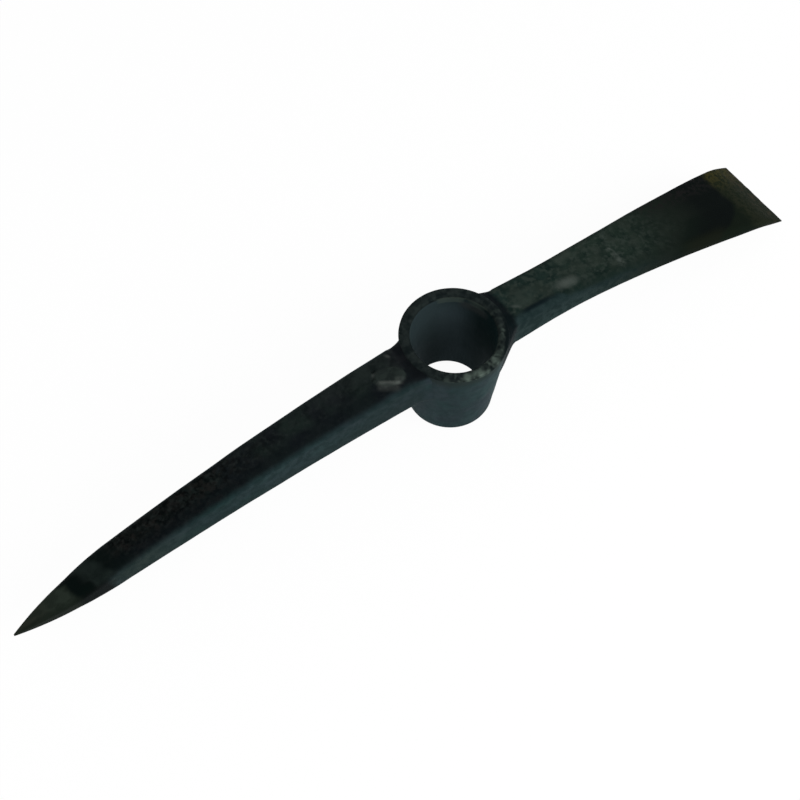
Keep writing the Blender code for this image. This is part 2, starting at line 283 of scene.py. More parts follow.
def collar_paint(finish):
    """Colour of the collar inside, outside and on its rim with its painted light, shade and lip highlights,
    and where it shows bare steel from rubbing.
    """
    base_middle = MM_PER_METRE * (BORE_RADIUS_AT_BASE + BASE_RADIUS) / 2
    rim_middle = MM_PER_METRE * (BORE_RADIUS_AT_RIM + RIM_RADIUS) / 2
    reach = finish.away(0, 0)
    middle_of_wall = base_middle + finish.z * ((rim_middle - base_middle) / (MM_PER_METRE * EYE_LENGTH))
    inside = (middle_of_wall - reach).rise(-0.4, 0.4)
    on_rim = finish.z.rise(57.7, 58.7)
    outer_edge = finish.away(-1.7, 1.7)
    blade_side = finish.toward(0.80, -0.60).rise(23, 27)
    worn_and_highlit = rim_wear_and_lip_highlights(finish, reach, on_rim, blade_side * outer_edge.rise(27.6, 29.8))

    # Painted light and shade in the bore: lit on the point's side, most high up, shaded towards the blade.
    toward_blade = finish.toward(0.82, -0.58) + finish.wander(7, 9, finish.stretched(1, 1, 0.15))
    bore = finish.layered(
        BORE_SHADE,
        (BORE_LIT, toward_blade.rise(17, 1) * finish.z.rise(66, 38)),
        (BORE_LIT_LEFT, toward_blade.rise(2, -13)),
    )
    rim = finish.mix(RIM_DARK, RIM_COAT, finish.grain(3.4, detail=3).rise(0.35, 0.65))
    left = finish.toward(-0.815, 0.579)
    # Painted light on the bore's wall just under the lip, towards the blade.
    lit_under_lip = finish.z.rise(49, 53) * finish.z.rise(57.5, 55) * finish.toward(0.91, 0.41).rise(20.0, 22.3)
    # Painted shade on the collar's outside beside the bladed arm's root, on its upper part.
    shade_by_blade = finish.toward(0.82, -0.57).rise(24.0, 27.0) * finish.z.rise(36, 52)
    color = finish.layered(
        coat_color(finish),
        # Painted light on the outside towards the point, and painted shade on its front towards the near
        # side.
        (COLLAR_LIT_LEFT, 0.40 * left.rise(1, 12)),
        (COLLAR_SHADE_FRONT, 0.40 * left.near(-5, 11, 3)),
        (bore, inside),
        (rim, on_rim),
        # Painted shade on the rim's outer edge beside the bladed arm.
        (RIM_SHADE_BY_BLADE, 0.90 * finish.z.rise(56, 58) * outer_edge.rise(28.4, 29.4) * blade_side),
        (BORE_LIGHT_UNDER_LIP, 0.80 * lit_under_lip * inside),
        (COLLAR_UNDER_RIM, 0.70 * finish.z.rise(50, 57) * (1 - inside) * (1 - on_rim)),
        (COLLAR_SHADE_BY_BLADE, 0.85 * shade_by_blade * (1 - on_rim)),
        # Bare steel where the rim is rubbed, and the lip's painted highlights.
        (WORN_STEEL_AND_HIGHLIGHT, worn_and_highlit),
    )
    return color, worn_and_highlit


collar_finish = Finish("collar_blue_black_coat")
color, worn_and_highlit = collar_paint(collar_finish)
collar_material = collar_finish.done(
    color,
    roughness=0.48 + 0.16 * collar_finish.grain(4, detail=3) - 0.08 * worn_and_highlit,
    metallic=0.08 + 0.20 * worn_and_highlit,
    relief=coat_relief(collar_finish) - 0.5 * worn_and_highlit,
    depth=0.22,
)

collar_tree = ShapeTree("turned_collar", {
    "Length": ("Float", EYE_LENGTH),
    "Rim radius": ("Float", RIM_RADIUS),
    "Base radius": ("Float", BASE_RADIUS),
    "Bore radius at rim": ("Float", BORE_RADIUS_AT_RIM),
    "Bore radius at base": ("Float", BORE_RADIUS_AT_BASE),
    "Rounding": ("Float", RIM_ROUNDING),
    "Mouth rounding": ("Float", MOUTH_ROUNDING),
    "Eye place": ("Float", EYE_X),
    "Bore lean": ("Float", -0.0012),
    "Unevenness": ("Float", 0.00035),
    "Dents per metre": ("Float", 90.0),
    "Dent detail": ("Float", 3.0),
    "Rounding steps": ("Int", 7),
    "Stations round": ("Int", 224),
    "Stations along": ("Int", 288),
    "Seed": ("Float", 3.0),
    "Finish": ("Material", collar_material),
})
size = collar_tree.size
corners = []
for radius, height in (("Rim radius", size("Length")), ("Base radius", 0.0),
                       ("Bore radius at base", 0.0), ("Bore radius at rim", size("Length"))):
    corners.append(collar_tree.node("ShaderNodeCombineXYZ", None, {0: size(radius), 1: height}))
outline = collar_tree.node(
    "GeometryNodeCurvePrimitiveQuadrilateral", {"mode": "POINTS"},
    {"Point 1": corners[0], "Point 2": corners[1], "Point 3": corners[2], "Point 4": corners[3]})
at_mouth = collar_tree.node("GeometryNodeInputIndex").math("COMPARE", len(corners) - 1, 0.5)
rounding = size("Rounding") + at_mouth * (size("Mouth rounding") - size("Rounding"))
outline = collar_tree.node("GeometryNodeFilletCurve", {"mode": "POLY"}, {
    "Curve": outline, "Count": size("Rounding steps"), "Radius": rounding, "Limit Radius": True})
grid = collar_tree.node("GeometryNodeMeshGrid", None, {
    "Size X": 1.0, "Size Y": 1.0, "Vertices X": size("Stations round"), "Vertices Y": size("Stations along")})
flat = collar_tree.node("GeometryNodeInputPosition")
turn, along = collar_tree.node("ShaderNodeSeparateXYZ", None, {0: flat}, output=(0, 1))
profile = collar_tree.node("GeometryNodeSampleCurve", {"mode": "FACTOR"}, {
    "Curves": outline, "Factor": along + 0.5}, output="Position")
radius, height = collar_tree.node("ShaderNodeSeparateXYZ", None, {0: profile}, output=(0, 1))
angle = (turn + 0.5) * (2 * math.pi)
in_bore = (radius - height * ((RIM_RADIUS - BORE_RADIUS_AT_BASE) / EYE_LENGTH)).rise(*BORE_SIDE)
lean = size("Bore lean") * in_bore * (1 - height / size("Length"))
place = collar_tree.node("ShaderNodeCombineXYZ", None, {
    0: radius * angle.math("COSINE") + size("Eye place") + lean, 1: radius * angle.math("SINE"), 2: height})
turned = collar_tree.node("GeometryNodeSetPosition", None, {"Geometry": grid, "Position": place})
turned = collar_tree.node("GeometryNodeMergeByDistance", None, {
    "Geometry": turned, "Distance": MERGE_DISTANCE})
turned = collar_tree.node("GeometryNodeFlipFaces", None, {"Mesh": turned})
spot = collar_tree.node("GeometryNodeInputPosition")
hammered = collar_tree.node("ShaderNodeTexNoise", {"noise_dimensions": "4D"}, {
    "Vector": spot, "W": size("Seed"), "Scale": size("Dents per metre"), "Detail": size("Dent detail")})
above_base = collar_tree.node("ShaderNodeSeparateXYZ", None, {0: spot}, output=2).rise(*DENTS_SET_IN)
push = collar_tree.node("ShaderNodeVectorMath", {"operation": "SCALE"}, {
    0: collar_tree.node("GeometryNodeInputNormal"),
    "Scale": (hammered - 0.5) * above_base * size("Unevenness")})
turned = collar_tree.node("GeometryNodeSetPosition", None, {"Geometry": turned, "Offset": push})
turned = collar_tree.node("GeometryNodeSetShadeSmooth", None, {"Geometry": turned})
collar = bpy.data.objects.new("forged_eye_collar", bpy.data.meshes.new("forged_eye_collar"))
bpy.context.scene.collection.objects.link(collar)
collar_tree.finish(turned, collar)
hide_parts("eye_collar")
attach(collar, "root")


# Pointed arm
# A square bar of steel, forged thinner towards its end and bent towards the handle's side. Its coped root
# stands in the weld on the collar. Its top keeps dark scale under painted shade, its sides a teal coat
# painted lighter as lit, and its pad is rubbed, with painted highlights on its near edge and a painted
# glint by the weld.
RIM_STEP = 0.0008
CORNER_RADIUS = 0.004
CORNER_SHARE = 0.4
SCARF_LEAN = math.radians(35)
SCARF_BLEND = 0.024
THIN_END = 0.0008
WELD_LEG = 0.005
WELD_END = RIM_RADIUS + WELD_LEG
GROOVE_AT_TOE = 0.0008
GROOVE_AT_COLLAR = 0.0026
SHARPEST_SHARE = 0.2
GAP = 0.0003
HAMMER_WAVE_WIDTH = 0.024
HAMMER_WAVE_HEIGHT = 0.00014
HAMMER_DENT_WIDTH = 0.007
HAMMER_DENT_HEIGHT = 0.00005
HAMMER_DENT_SHIFT = Vector((7, 3, 1))
FITTING_PASSES = 5
CORNER_STEPS = 8
TOP_STEPS = 44
SIDE_STEPS = 22
BOTTOM_STEPS = 26
GROOVE_RINGS = np.array([1.0, 0.66, 0.33, 0.0])[:, None]
FINE_END = 0.054
FINE_SPACING = 0.00045
PLAIN_SPACING = 0.0009
SHARP_ANGLE = math.radians(40)


def stations_round():
    """Where points lie round an arm's section, as parts of half its flats, and which way is out there."""
    corners = ((1, 1), (-1, 1), (-1, -1), (1, -1))
    places, ways = [], []
    for quarter, steps in enumerate((TOP_STEPS, SIDE_STEPS, BOTTOM_STEPS, SIDE_STEPS)):
        here, after = corners[quarter], corners[(quarter + 1) % 4]
        for step in range(CORNER_STEPS + 1):
            angle = math.radians(90 * (quarter + step / CORNER_STEPS))
            places.append(here)
            ways.append((math.cos(angle), math.sin(angle)))
        for step in range(1, steps):
            part = step / steps
            places.append((here[0] + (after[0] - here[0]) * part, here[1] + (after[1] - here[1]) * part))
            ways.append(ways[-1])
    return np.array(places).T, np.array(ways).T


(FLAT_Y, FLAT_Z), (OUT_Y, OUT_Z) = stations_round()
TOP_SIDE = np.maximum(OUT_Z, 0) ** 2


def ease(part):
    return part * part * (3 - 2 * part)


def between(low, high, value):
    """How far values lie from low to high, held to 0 and 1."""
    return np.clip((value - low) / (high - low), 0, 1)


def collar_radius(height):
    return BASE_RADIUS + (RIM_RADIUS - BASE_RADIUS) * height / EYE_LENGTH


def groove_depth(distance):
    return GROOVE_AT_TOE + (GROOVE_AT_COLLAR - GROOVE_AT_TOE) * (WELD_END - distance) / WELD_LEG


class Arm:
    """An arm's form. Distances run from the eye's axis, one for each point of a ring round the arm."""

    def __init__(self, side, reach, steel_length, root_depth, droop, weld_climb, sizes):
        self.side = side
        self.reach = reach
        self.steel_length = steel_length
        self.joint = reach - steel_length
        self.root_depth = root_depth
        self.droop = droop
        self.weld_climb = weld_climb
        self.sizes = sizes

    def middle(self, distance):
        """Height of the arm's middle, on an arc that leaves the collar level."""
        along = np.maximum(distance - RIM_RADIUS, 0) / (self.reach - RIM_RADIUS)
        return EYE_LENGTH - RIM_STEP - self.root_depth / 2 - self.droop * along**2

    def rings(self, distance, grown=0.0, lowered=0.0):
        """Rings of points on a rounded oblong section, grown by so much on all sides and then lowered."""
        width, depth, dropped, rounding = self.sizes(distance)
        radius = np.minimum(CORNER_RADIUS, CORNER_SHARE * rounding * np.minimum(width, depth))
        radius = np.maximum(radius + grown, SHARPEST_SHARE * radius)
        y = FLAT_Y * (width / 2 + grown - radius) + OUT_Y * radius
        z = self.middle(distance) - dropped - lowered + FLAT_Z * (depth / 2 + grown - radius) + OUT_Z * radius
        return np.stack((EYE_X + self.side * (distance + 0 * y), y, z), axis=-1)

    def leaning(self, distance):
        """The same, with the rings near the scarf leaning as it does, so that both pieces share its ring."""
        level = self.middle(self.joint)
        lean = math.tan(SCARF_LEAN) * ease(np.clip(1 - abs(distance - self.joint) / SCARF_BLEND, 0, 1))
        leaned = distance
        for _ in range(FITTING_PASSES):
            leaned = distance + lean * (self.rings(leaned)[..., 2] - level)
        return self.rings(leaned)

    def coped(self, part, buried, grown=0.0, lowered=0.0, in_groove=False):
        """Rings from the weld's toe, part 0, to the collar's wall, part 1, and so far past it."""
        distance = WELD_END
        for _ in range(FITTING_PASSES):
            groove = groove_depth(distance) if in_groove else 0
            points = self.rings(distance, grown - groove, lowered)
            wall = np.sqrt(collar_radius(points[..., 2]) ** 2 - points[..., 1] ** 2) - buried
            distance = WELD_END + (wall - WELD_END) * part
        return self.rings(distance, grown - groove, lowered)


def stations_along(*stretches):
    """Distances for rings, from stretches of (end, spacing) that start at the weld's toe."""
    distances = [WELD_END]
    for end, spacing in stretches:
        count = math.ceil((end - distances[-1]) / spacing)
        distances += list(np.linspace(distances[-1], end, count + 1)[1:])
    return np.array(distances)[:, None]


def hammered_height(points):
    """Height of a forged skin at points: long shallow waves from the hammer, and smaller dents in them."""
    heights = []
    for point in points.reshape(-1, 3):
        spot = Vector(point)
        waves = noise.noise(spot / HAMMER_WAVE_WIDTH) * HAMMER_WAVE_HEIGHT
        dents = noise.noise(spot / HAMMER_DENT_WIDTH + HAMMER_DENT_SHIFT) * HAMMER_DENT_HEIGHT
        heights.append(waves + dents)
    return np.array(heights).reshape(points.shape[:-1])


def raised(points, height):
    """Points moved out of the skin that they lie on."""
    moved = points.copy()
    moved[..., 1] += OUT_Y * height
    moved[..., 2] += OUT_Z * height
    return moved


class Oval:
    """A turned oval on top of an arm, with its middle so far along from the eye's axis and so far across."""

    def __init__(self, along, across, half_length, half_width, turn=0.0):
        self.middle = (along, across)
        self.half_length = half_length
        self.half_width = half_width
        self.turn = turn

    def reach(self, along, across):
        """How far a place is from the middle, as parts of the way to the oval's edge."""
        along, across = along - self.middle[0], across - self.middle[1]
        first = (along * math.cos(self.turn) + across * math.sin(self.turn)) / self.half_length
        second = (across * math.cos(self.turn) - along * math.sin(self.turn)) / self.half_width
        return (first**2 + second**2) ** 0.5

    def painted(self, finish, way):
        """The same for a finish, whose places are in millimetres, on the arm that points that way."""
        return self.reach(finish.x / (way * MM_PER_METRE), finish.y / MM_PER_METRE)


def mound(reach, height, softness):
    """A low oval with a flat top and soft edges, on the top of an arm."""
    return height * TOP_SIDE * ease(np.clip((1 - reach) / softness, 0, 1))


def skin_mesh(name, rings, material, closed_round=False):
    """A closed mesh over rings of points: a fan closes each end, or the last ring joins the first.

    Two attributes say how many millimetres a point lies "below" its ring's top and "inset" from its sides.
    """
    count, around, _ = rings.shape
    points = rings.reshape(-1, 3).tolist()
    index = np.arange(count * around).reshape(count, around)
    after = np.roll(index, -1, axis=1)
    last = count if closed_round else count - 1
    ahead, ahead_after = np.roll(index, -1, axis=0), np.roll(after, -1, axis=0)
    faces = np.stack((index, after, ahead_after, ahead), axis=-1)[:last].reshape(-1, 4).tolist()
    if not closed_round:
        for ring in (0, count - 1):
            centre = len(points)
            points.append(rings[ring].mean(axis=0).tolist())
            faces += [(centre, one, two) for one, two in zip(index[ring].tolist(), after[ring].tolist())]
    mesh = bpy.data.meshes.new(name)
    mesh.from_pydata(points, [], faces)
    work = bmesh.new()
    work.from_mesh(mesh)
    bmesh.ops.recalc_face_normals(work, faces=work.faces)
    work.to_mesh(mesh)
    work.free()
    mesh.shade_smooth()
    mesh.set_sharp_from_angle(angle=SHARP_ANGLE)
    mesh.materials.append(material)
    for label, values in (("below", rings[..., 2]), ("inset", abs(rings[..., 1]))):
        values = MM_PER_METRE * (values.max(axis=1, keepdims=True) - values).ravel()
        values = np.concatenate((values, np.zeros(len(points) - len(values))))
        mesh.attributes.new(label, "FLOAT", "POINT").data.foreach_set("value", values.astype(np.float32))
    piece = bpy.data.objects.new(name, mesh)
    bpy.context.scene.collection.objects.link(piece)
    return piece


def fit_in(piece, node):
    """Puts a piece in the place of its CAD node, on the head's one body."""
    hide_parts(node)
    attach(piece, "root")


POINT_ROOT_WIDTH = 0.0266
POINT_ROOT_DEPTH = 0.0256
POINT_SHOULDER_WIDTH = 0.0176
POINT_SHOULDER_DEPTH = 0.0182
POINT_DEPTH_CURVE = 1.5
POINT_TAPER_LENGTH = 0.058
POINT_WIDTH_ROUNDNESS = 2
POINT_DEPTH_ROUNDNESS = 1.2
POINT_SHARPENING = 0.45
POINT_STEEL_LENGTH = 0.042
POINT_DROOP = 0.0285
POINT_WELD_CLIMB = 0.0020
point_low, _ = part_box("point_tip")
POINT_REACH = EYE_X - point_low.x


def point_sizes(distance):
    """Width, depth, drop from grinding and rounding left on corners: an even taper, then a ground pyramid."""
    shoulder = POINT_REACH - POINT_TAPER_LENGTH
    along = between(RIM_RADIUS, shoulder, distance)
    gone = between(shoulder, POINT_REACH, distance)
    width = POINT_ROOT_WIDTH + (POINT_SHOULDER_WIDTH - POINT_ROOT_WIDTH) * along
    width = THIN_END + (width - THIN_END) * (1 - gone**POINT_WIDTH_ROUNDNESS)
    depth = POINT_ROOT_DEPTH + (POINT_SHOULDER_DEPTH - POINT_ROOT_DEPTH) * along**POINT_DEPTH_CURVE
    depth = THIN_END + (depth - THIN_END) * (1 - gone**POINT_DEPTH_ROUNDNESS)
    return width, depth, 0.0, 1 - POINT_SHARPENING * ease(gone)


point = Arm(-1, POINT_REACH, POINT_STEEL_LENGTH, POINT_ROOT_DEPTH, POINT_DROOP, POINT_WELD_CLIMB, point_sizes)
PAD_HEIGHT = 0.0009
POINT_PAD = Oval(0.0422, -0.0024, 0.0092, 0.0060, math.radians(22))
CRISP_EDGE = 0.3
PITS = (Oval(0.0474, 0.0049, 0.0013, 0.0010), Oval(0.0498, 0.0009, 0.0013, 0.0010))
PIT_DEPTH = 0.0007
STREAK_END = 1.5
# Colours of the sides: a teal coat, painted lighter as lit.
SIDE_AT_END = (0.0168, 0.0268, 0.0240)
SIDE_MIDDLE = (0.0156, 0.0318, 0.0328)
SIDE_BY_EYE = (0.0132, 0.0235, 0.0252)
SIDE_TEAL = (0.0065, 0.0220, 0.0205)
SIDE_BLUE = (0.0185, 0.0270, 0.0325)
SIDE_DARK = (0.0065, 0.0150, 0.0152)
SIDE_LOW = (0.0105, 0.0185, 0.0180)
# Colours of the top: dark forging scale, painted darker still as shade.
SCALE_AT_END = (0.0042, 0.0052, 0.0047)
SCALE_AND_SHADE_ON_TOP = (0.0060, 0.0098, 0.0094)
SCALE_GREEN = (0.0088, 0.0140, 0.0120)
SCALE_BLUE = (0.0060, 0.0068, 0.0086)
SCALE_BROWN = (0.0092, 0.0085, 0.0077)
SCALE_BY_EYE = (0.0125, 0.0165, 0.0155)
SCALE_BY_WELD = (0.0068, 0.0074, 0.0088)
SCALE_DARK = (0.0016, 0.0028, 0.0028)
SCALE_BLACK = (0.0006, 0.0008, 0.0008)
SCALE_FAR_EDGE = (0.0004, 0.0006, 0.0006)
SCALE_GREY = (0.0150, 0.0190, 0.0180)
SCALE_NEAR_EDGE = (0.0030, 0.0044, 0.0056)
HEAT_GREEN = (0.0018, 0.0036, 0.0032)
HEAT_GREY = (0.0027, 0.0031, 0.0029)
HEAT_BAND = (0.0095, 0.0142, 0.0126)
HEAT_BAND_DARK = (0.0030, 0.0050, 0.0046)
HEAT_BLACK = (0.0014, 0.0030, 0.0025)
OLIVE = (0.0172, 0.0236, 0.0176)
OLIVE_AT_TIP = (0.0172, 0.0204, 0.0148)
OLIVE_DARK = (0.0110, 0.0150, 0.0110)
OLIVE_ON_SIDE = (0.0075, 0.0098, 0.0070)
OLIVE_NEAR_EDGE = (0.0060, 0.0090, 0.0062)
PAD_COLOR = (0.0165, 0.0225, 0.0200)
PAD_RUB_AND_HIGHLIGHT = (0.064, 0.072, 0.066)
PAD_RUBS_AND_HIGHLIGHTS = (((49.2, -2.2), (38.6, -9.0), 1.6, 0.75), ((50.6, -4.4), (41.2, -10.6), 3.0, 0.36),
               ((40.8, -5.4), (36.6, -7.6), 2.0, 0.34), ((37.0, 9.6), (35.6, 7.2), 1.4, 0.70),
               ((48.0, 3.4), (49.2, 2.2), 1.6, 0.70))


def streak(finish, way, start, end, half_width):
    """A soft line from start to end, each given in millimetres as distance from the eye and across."""
    length = math.dist(start, end)
    toward = ((end[0] - start[0]) / length, (end[1] - start[1]) / length)
    past, aside = way * finish.x - start[0], finish.y - start[1]
    along = past * toward[0] + aside * toward[1]
    off = abs(past * toward[1] - aside * toward[0])
    return off.rise(half_width, 0) * along.near(length / 2, length / 2 + STREAK_END, length / 2 - 2)


def point_paint(finish):
    """Colour of the pointed arm from its root to its point, and where it is ground bare."""
    from_point = finish.x + MM_PER_METRE * POINT_REACH
    side = finish.layered(
        SIDE_AT_END,
        (SIDE_MIDDLE, from_point.rise(60, 130)),
        (SIDE_BY_EYE, from_point.rise(150, 215)),
        (SIDE_TEAL, 0.55 * from_point.near(112, 34, 8)),
        (SIDE_BLUE, 0.40 * finish.grain(12, at=finish.stretched(0.5, 1, 1)).rise(0.40, 0.60)),
        (SIDE_DARK, 0.62 * finish.grain(4, detail=3).rise(0.36, 0.66)),
        (SIDE_LOW, 0.40 * finish.below.rise(10, 17)),
    )
    cloud = finish.grain(16, detail=1.5, at=finish.stretched(1, -1, 1)).rise(0.38, 0.62)
    near_end = from_point.rise(165, 105)
    dark = finish.grain(6, detail=3, roughness=0.6).rise(0.38, 0.70)
    black = finish.grain(2.6, at=finish.stretched(-1, 1, 1)).rise(0.44, 0.66)
    far_edge = finish.inset.rise(5, 1.5) * finish.y.rise(0, 3)
    # The top: dark scale, with painted shade over all of it.
    scale = finish.layered(
        SCALE_AT_END,
        (SCALE_AND_SHADE_ON_TOP, from_point.rise(70, 165)),
        (finish.mix(SCALE_GREEN, SCALE_BLUE, cloud), 0.80 * from_point.rise(90, 140)),
        (SCALE_BROWN, 0.85 * finish.grain(3.4).rise(0.40, 0.62) * near_end),
        (SCALE_BY_EYE, 0.70 * finish.y.rise(-2, 8) * from_point.rise(160, 200)),
        (SCALE_BY_WELD, 0.75 * from_point.rise(220, 227)),
        (SCALE_DARK, 0.60 * dark),
        (SCALE_BLACK, 0.85 * black * near_end),
        (SCALE_FAR_EDGE, (1.3 * black).capped() * far_edge * near_end),
        (SCALE_GREY, 0.42 * finish.grain(2.4).rise(0.46, 0.72)),
        (SCALE_NEAR_EDGE, 0.60 * finish.y.rise(1, -6)),
    )
    # Where the sides take the coat, painted lighter as lit, over the top's painted shade.
    on_lit_side = (finish.below - finish.inset + finish.wander(1.6, 7)).rise(-2.6, 3.8)
    heated = from_point + finish.wander(12, 12) + 0.5 * finish.y
    band = heated.near(46, 8, 3)
    color = finish.layered(
        scale,
        (side, on_lit_side),
        (HEAT_GREEN, 0.80 * heated.rise(66, 56) * (1 - on_lit_side)),
        (HEAT_GREY, 0.94 * heated.rise(49, 45)),
        (HEAT_BAND, 0.90 * band * (1 - on_lit_side)),
        (HEAT_BAND_DARK, 0.60 * band * dark),
        (HEAT_BLACK, heated.rise(42, 38) * (1 - 0.7 * on_lit_side) * (1 - 0.5 * finish.y.rise(2, 6))),
    )
    olive = finish.layered(
        OLIVE,
        (OLIVE_AT_TIP, from_point.rise(26, 12)),
        (OLIVE_DARK, 0.80 * finish.grain(2.6, at=finish.stretched(0.4, 1, 1)).rise(0.38, 0.66)),
        (OLIVE_ON_SIDE, 0.80 * on_lit_side * from_point.rise(9, 19)),
        (OLIVE_NEAR_EDGE, 0.65 * finish.inset.rise(3.6, 0.6) * finish.y.rise(1, -2)),
    )
    ground = heated.rise(35, 30)
    return finish.mix(color, olive, ground), ground


point_finish = Finish("pointed_arm_coat_and_scale")
color, _ = point_paint(point_finish)
pad_grain = point_finish.grain(3.2).rise(0.36, 0.62)
on_pad = POINT_PAD.painted(point_finish, -1).rise(1.08, 0.82)
# Rubbed steel on the pad, and painted highlights: streaks along its near edge and a glint by the weld.
rubbed_and_highlit = 0
for start, end, half_width, strength in PAD_RUBS_AND_HIGHLIGHTS:
    rubbed_and_highlit = rubbed_and_highlit + strength * streak(point_finish, -1, start, end, half_width) * (0.65 + 0.35 * pad_grain)
rubbed_and_highlit = rubbed_and_highlit.capped()
point_material = point_finish.done(
    point_finish.layered(color, (PAD_COLOR, on_pad * (0.45 + 0.45 * pad_grain)), (PAD_RUB_AND_HIGHLIGHT, rubbed_and_highlit)),
    roughness=0.52 + 0.14 * point_finish.grain(4, detail=3) - 0.10 * rubbed_and_highlit,
    metallic=0.06 + 0.25 * rubbed_and_highlit,
    relief=coat_relief(point_finish) - 0.4 * rubbed_and_highlit,
    depth=0.24,
)


def arm_rings(arm):
    """Rings for an arm: its weld's groove, then the distances of its skin's rings, and these rings."""
    groove = arm.coped(GROOVE_RINGS, -GAP, in_groove=True)
    along = stations_along((FINE_END, FINE_SPACING), (arm.joint, PLAIN_SPACING))
    return groove, along, arm.leaning(along)


groove, along, skin = arm_rings(point)
across = skin[..., 1]
height = hammered_height(skin) + mound(POINT_PAD.reach(along, across), PAD_HEIGHT, CRISP_EDGE)
for pit in PITS:
    height -= mound(pit.reach(along, across), PIT_DEPTH, CRISP_EDGE)
point_arm = skin_mesh("pointed_arm", np.concatenate((groove, raised(skin, height))), point_material)
fit_in(point_arm, "point_arm")


# Point
# The hard steel end of the pointed arm, forge welded to it on a slanted scarf that no longer shows. It is
# ground to a slender pyramid: olive where the wheel left it bare, with dark bands where the heat ran back.
END_SPACING = 1.2 * FINE_SPACING
SMOOTH_END = 0.02


def ground_relief(finish, ground, scratched):
    """Forging scale, or where the steel is ground fine scratches, drawn out where a factor is small."""
    scratches = finish.grain(0.5, at=finish.stretched(*scratched))
    return finish.node("ShaderNodeMix", None, {
        0: ground, 2: coat_relief(finish), 3: 0.35 * scratches + 0.30 * finish.grain(3)})


def hard_end(arm):
    """Distances and rings of an arm's hard steel, on which the hammer's marks fade towards its end."""
    along = np.linspace(arm.joint, arm.reach, math.ceil(arm.steel_length / END_SPACING))[:, None]
    skin = arm.leaning(along)
    height = hammered_height(skin) * between(arm.reach, arm.reach - SMOOTH_END, along)
    return along, raised(skin, height)


tip_finish = Finish("ground_point_steel")
color, ground = point_paint(tip_finish)
point_tip_material = tip_finish.done(
    color,
    roughness=0.52 + 0.12 * tip_finish.grain(4, detail=3) - 0.06 * ground,
    metallic=0.05 - 0.03 * ground,
    relief=ground_relief(tip_finish, ground, (0.08, 1, 1)),
    depth=0.2,
)
_, skin = hard_end(point)
point_tip = skin_mesh("ground_point", skin, point_tip_material)
fit_in(point_tip, "point_tip")


# Bladed arm
# A bar that stays narrow by the collar, then spreads and thins towards its edge and bends as the pointed arm
# does. A faint line across it shows where it was gripped for forging, and high places on its top are rubbed.
# Its top is painted darker as shade and its sides lighter as lit, with painted shade along its crease and a
# painted highlight by its pad's near edge.
BLADE_ROOT_WIDTH = 0.026
BLADE_ROOT_DEPTH = 0.0236
BLADE_EDGE_WIDTH = 0.049
BLADE_END_DEPTH = 0.0072
BLADE_DEPTH_CURVE = 1.4
BLADE_NECK_LENGTH = 0.029
BLADE_SPREAD_BLEND = 0.65
BLADE_BEVEL_LENGTH = 0.022
BEVEL_TURN = 0.5
BEVEL_SHARPENING = 0.4
BLADE_STEEL_LENGTH = 0.038
BLADE_DROOP = 0.0275
BLADE_WELD_CLIMB = 0.0075
_, blade_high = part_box("blade_edge")
BLADE_REACH = blade_high.x - EYE_X


def blade_sizes(distance):
    """Width, depth, drop from grinding and rounding left on corners: it spreads, and thins to a bevel."""
    spread = between(RIM_RADIUS + BLADE_NECK_LENGTH, BLADE_REACH, distance)
    spread = BLADE_SPREAD_BLEND * ease(spread) + (1 - BLADE_SPREAD_BLEND) * spread
    width = BLADE_ROOT_WIDTH + (BLADE_EDGE_WIDTH - BLADE_ROOT_WIDTH) * spread
    left = 1 - between(RIM_RADIUS, BLADE_REACH, distance)
    full = BLADE_END_DEPTH + (BLADE_ROOT_DEPTH - BLADE_END_DEPTH) * left**BLADE_DEPTH_CURVE
    ground = between(BLADE_REACH - BLADE_BEVEL_LENGTH, BLADE_REACH, distance)
    turn = np.minimum(ground, BEVEL_TURN)
    ground = (ground - turn + turn**2 / (2 * BEVEL_TURN)) / (1 - BEVEL_TURN / 2)
    depth = full + (THIN_END - full) * ground
    return width, depth, (full - depth) / 2, 1 - BEVEL_SHARPENING * ground


blade = Arm(1, BLADE_REACH, BLADE_STEEL_LENGTH, BLADE_ROOT_DEPTH, BLADE_DROOP, BLADE_WELD_CLIMB, blade_sizes)
BLADE_PAD = Oval(0.0440, -0.0003, 0.0092, 0.0064)
SOFT_EDGE = 0.6
RUBBED_SPOT = Oval(0.0700, -0.0058, 0.0088, 0.0038, math.radians(-6))
RUBBED_SPOT_HEIGHT = 0.0004
RUBBED_SPOT_SOFTNESS = 0.8
FORGING_LINE = 0.1072
FORGING_LINE_HEIGHT = 0.00015
FORGING_LINE_WIDTH = 0.0016
# Colours of the sides, painted lighter as lit, then of the top, painted darker as shade.
BLADE_SIDE = (0.0192, 0.0322, 0.0320)
BLADE_SIDE_AT_END = (0.0132, 0.0190, 0.0156)
BLADE_SIDE_DARK = (0.0055, 0.0128, 0.0124)
BLADE_SIDE_SHADE_HIGH = (0.0060, 0.0130, 0.0140)
BLADE_TOP_MIDDLE = (0.0125, 0.0215, 0.0163)
BLADE_TOP_BY_EYE = (0.0105, 0.0200, 0.0172)
BLADE_TOP_DARK = (0.0040, 0.0095, 0.0082)
BLADE_TOP_GREY = (0.0275, 0.0370, 0.0310)
BLADE_TOP_PALE = (0.0215, 0.0290, 0.0235)
BLADE_TOP_STREAK = (0.0290, 0.0390, 0.0320)
BLADE_TOP_NEAR_EDGE = (0.0050, 0.0105, 0.0088)
BLADE_CREASE_SHADE = (0.0030, 0.0066, 0.0085)
BLADE_HEAT_GREEN = (0.0074, 0.0102, 0.0080)
BLADE_HEAT_DARK = (0.0030, 0.0060, 0.0044)
BLADE_HEAT_BLACK = (0.0034, 0.0046, 0.0044)
BLADE_SCALE = (0.0090, 0.0088, 0.0088)
BLADE_BROWN = (0.0095, 0.0115, 0.0062)
BLADE_SIDE_HEAT = (0.0040, 0.0064, 0.0042)
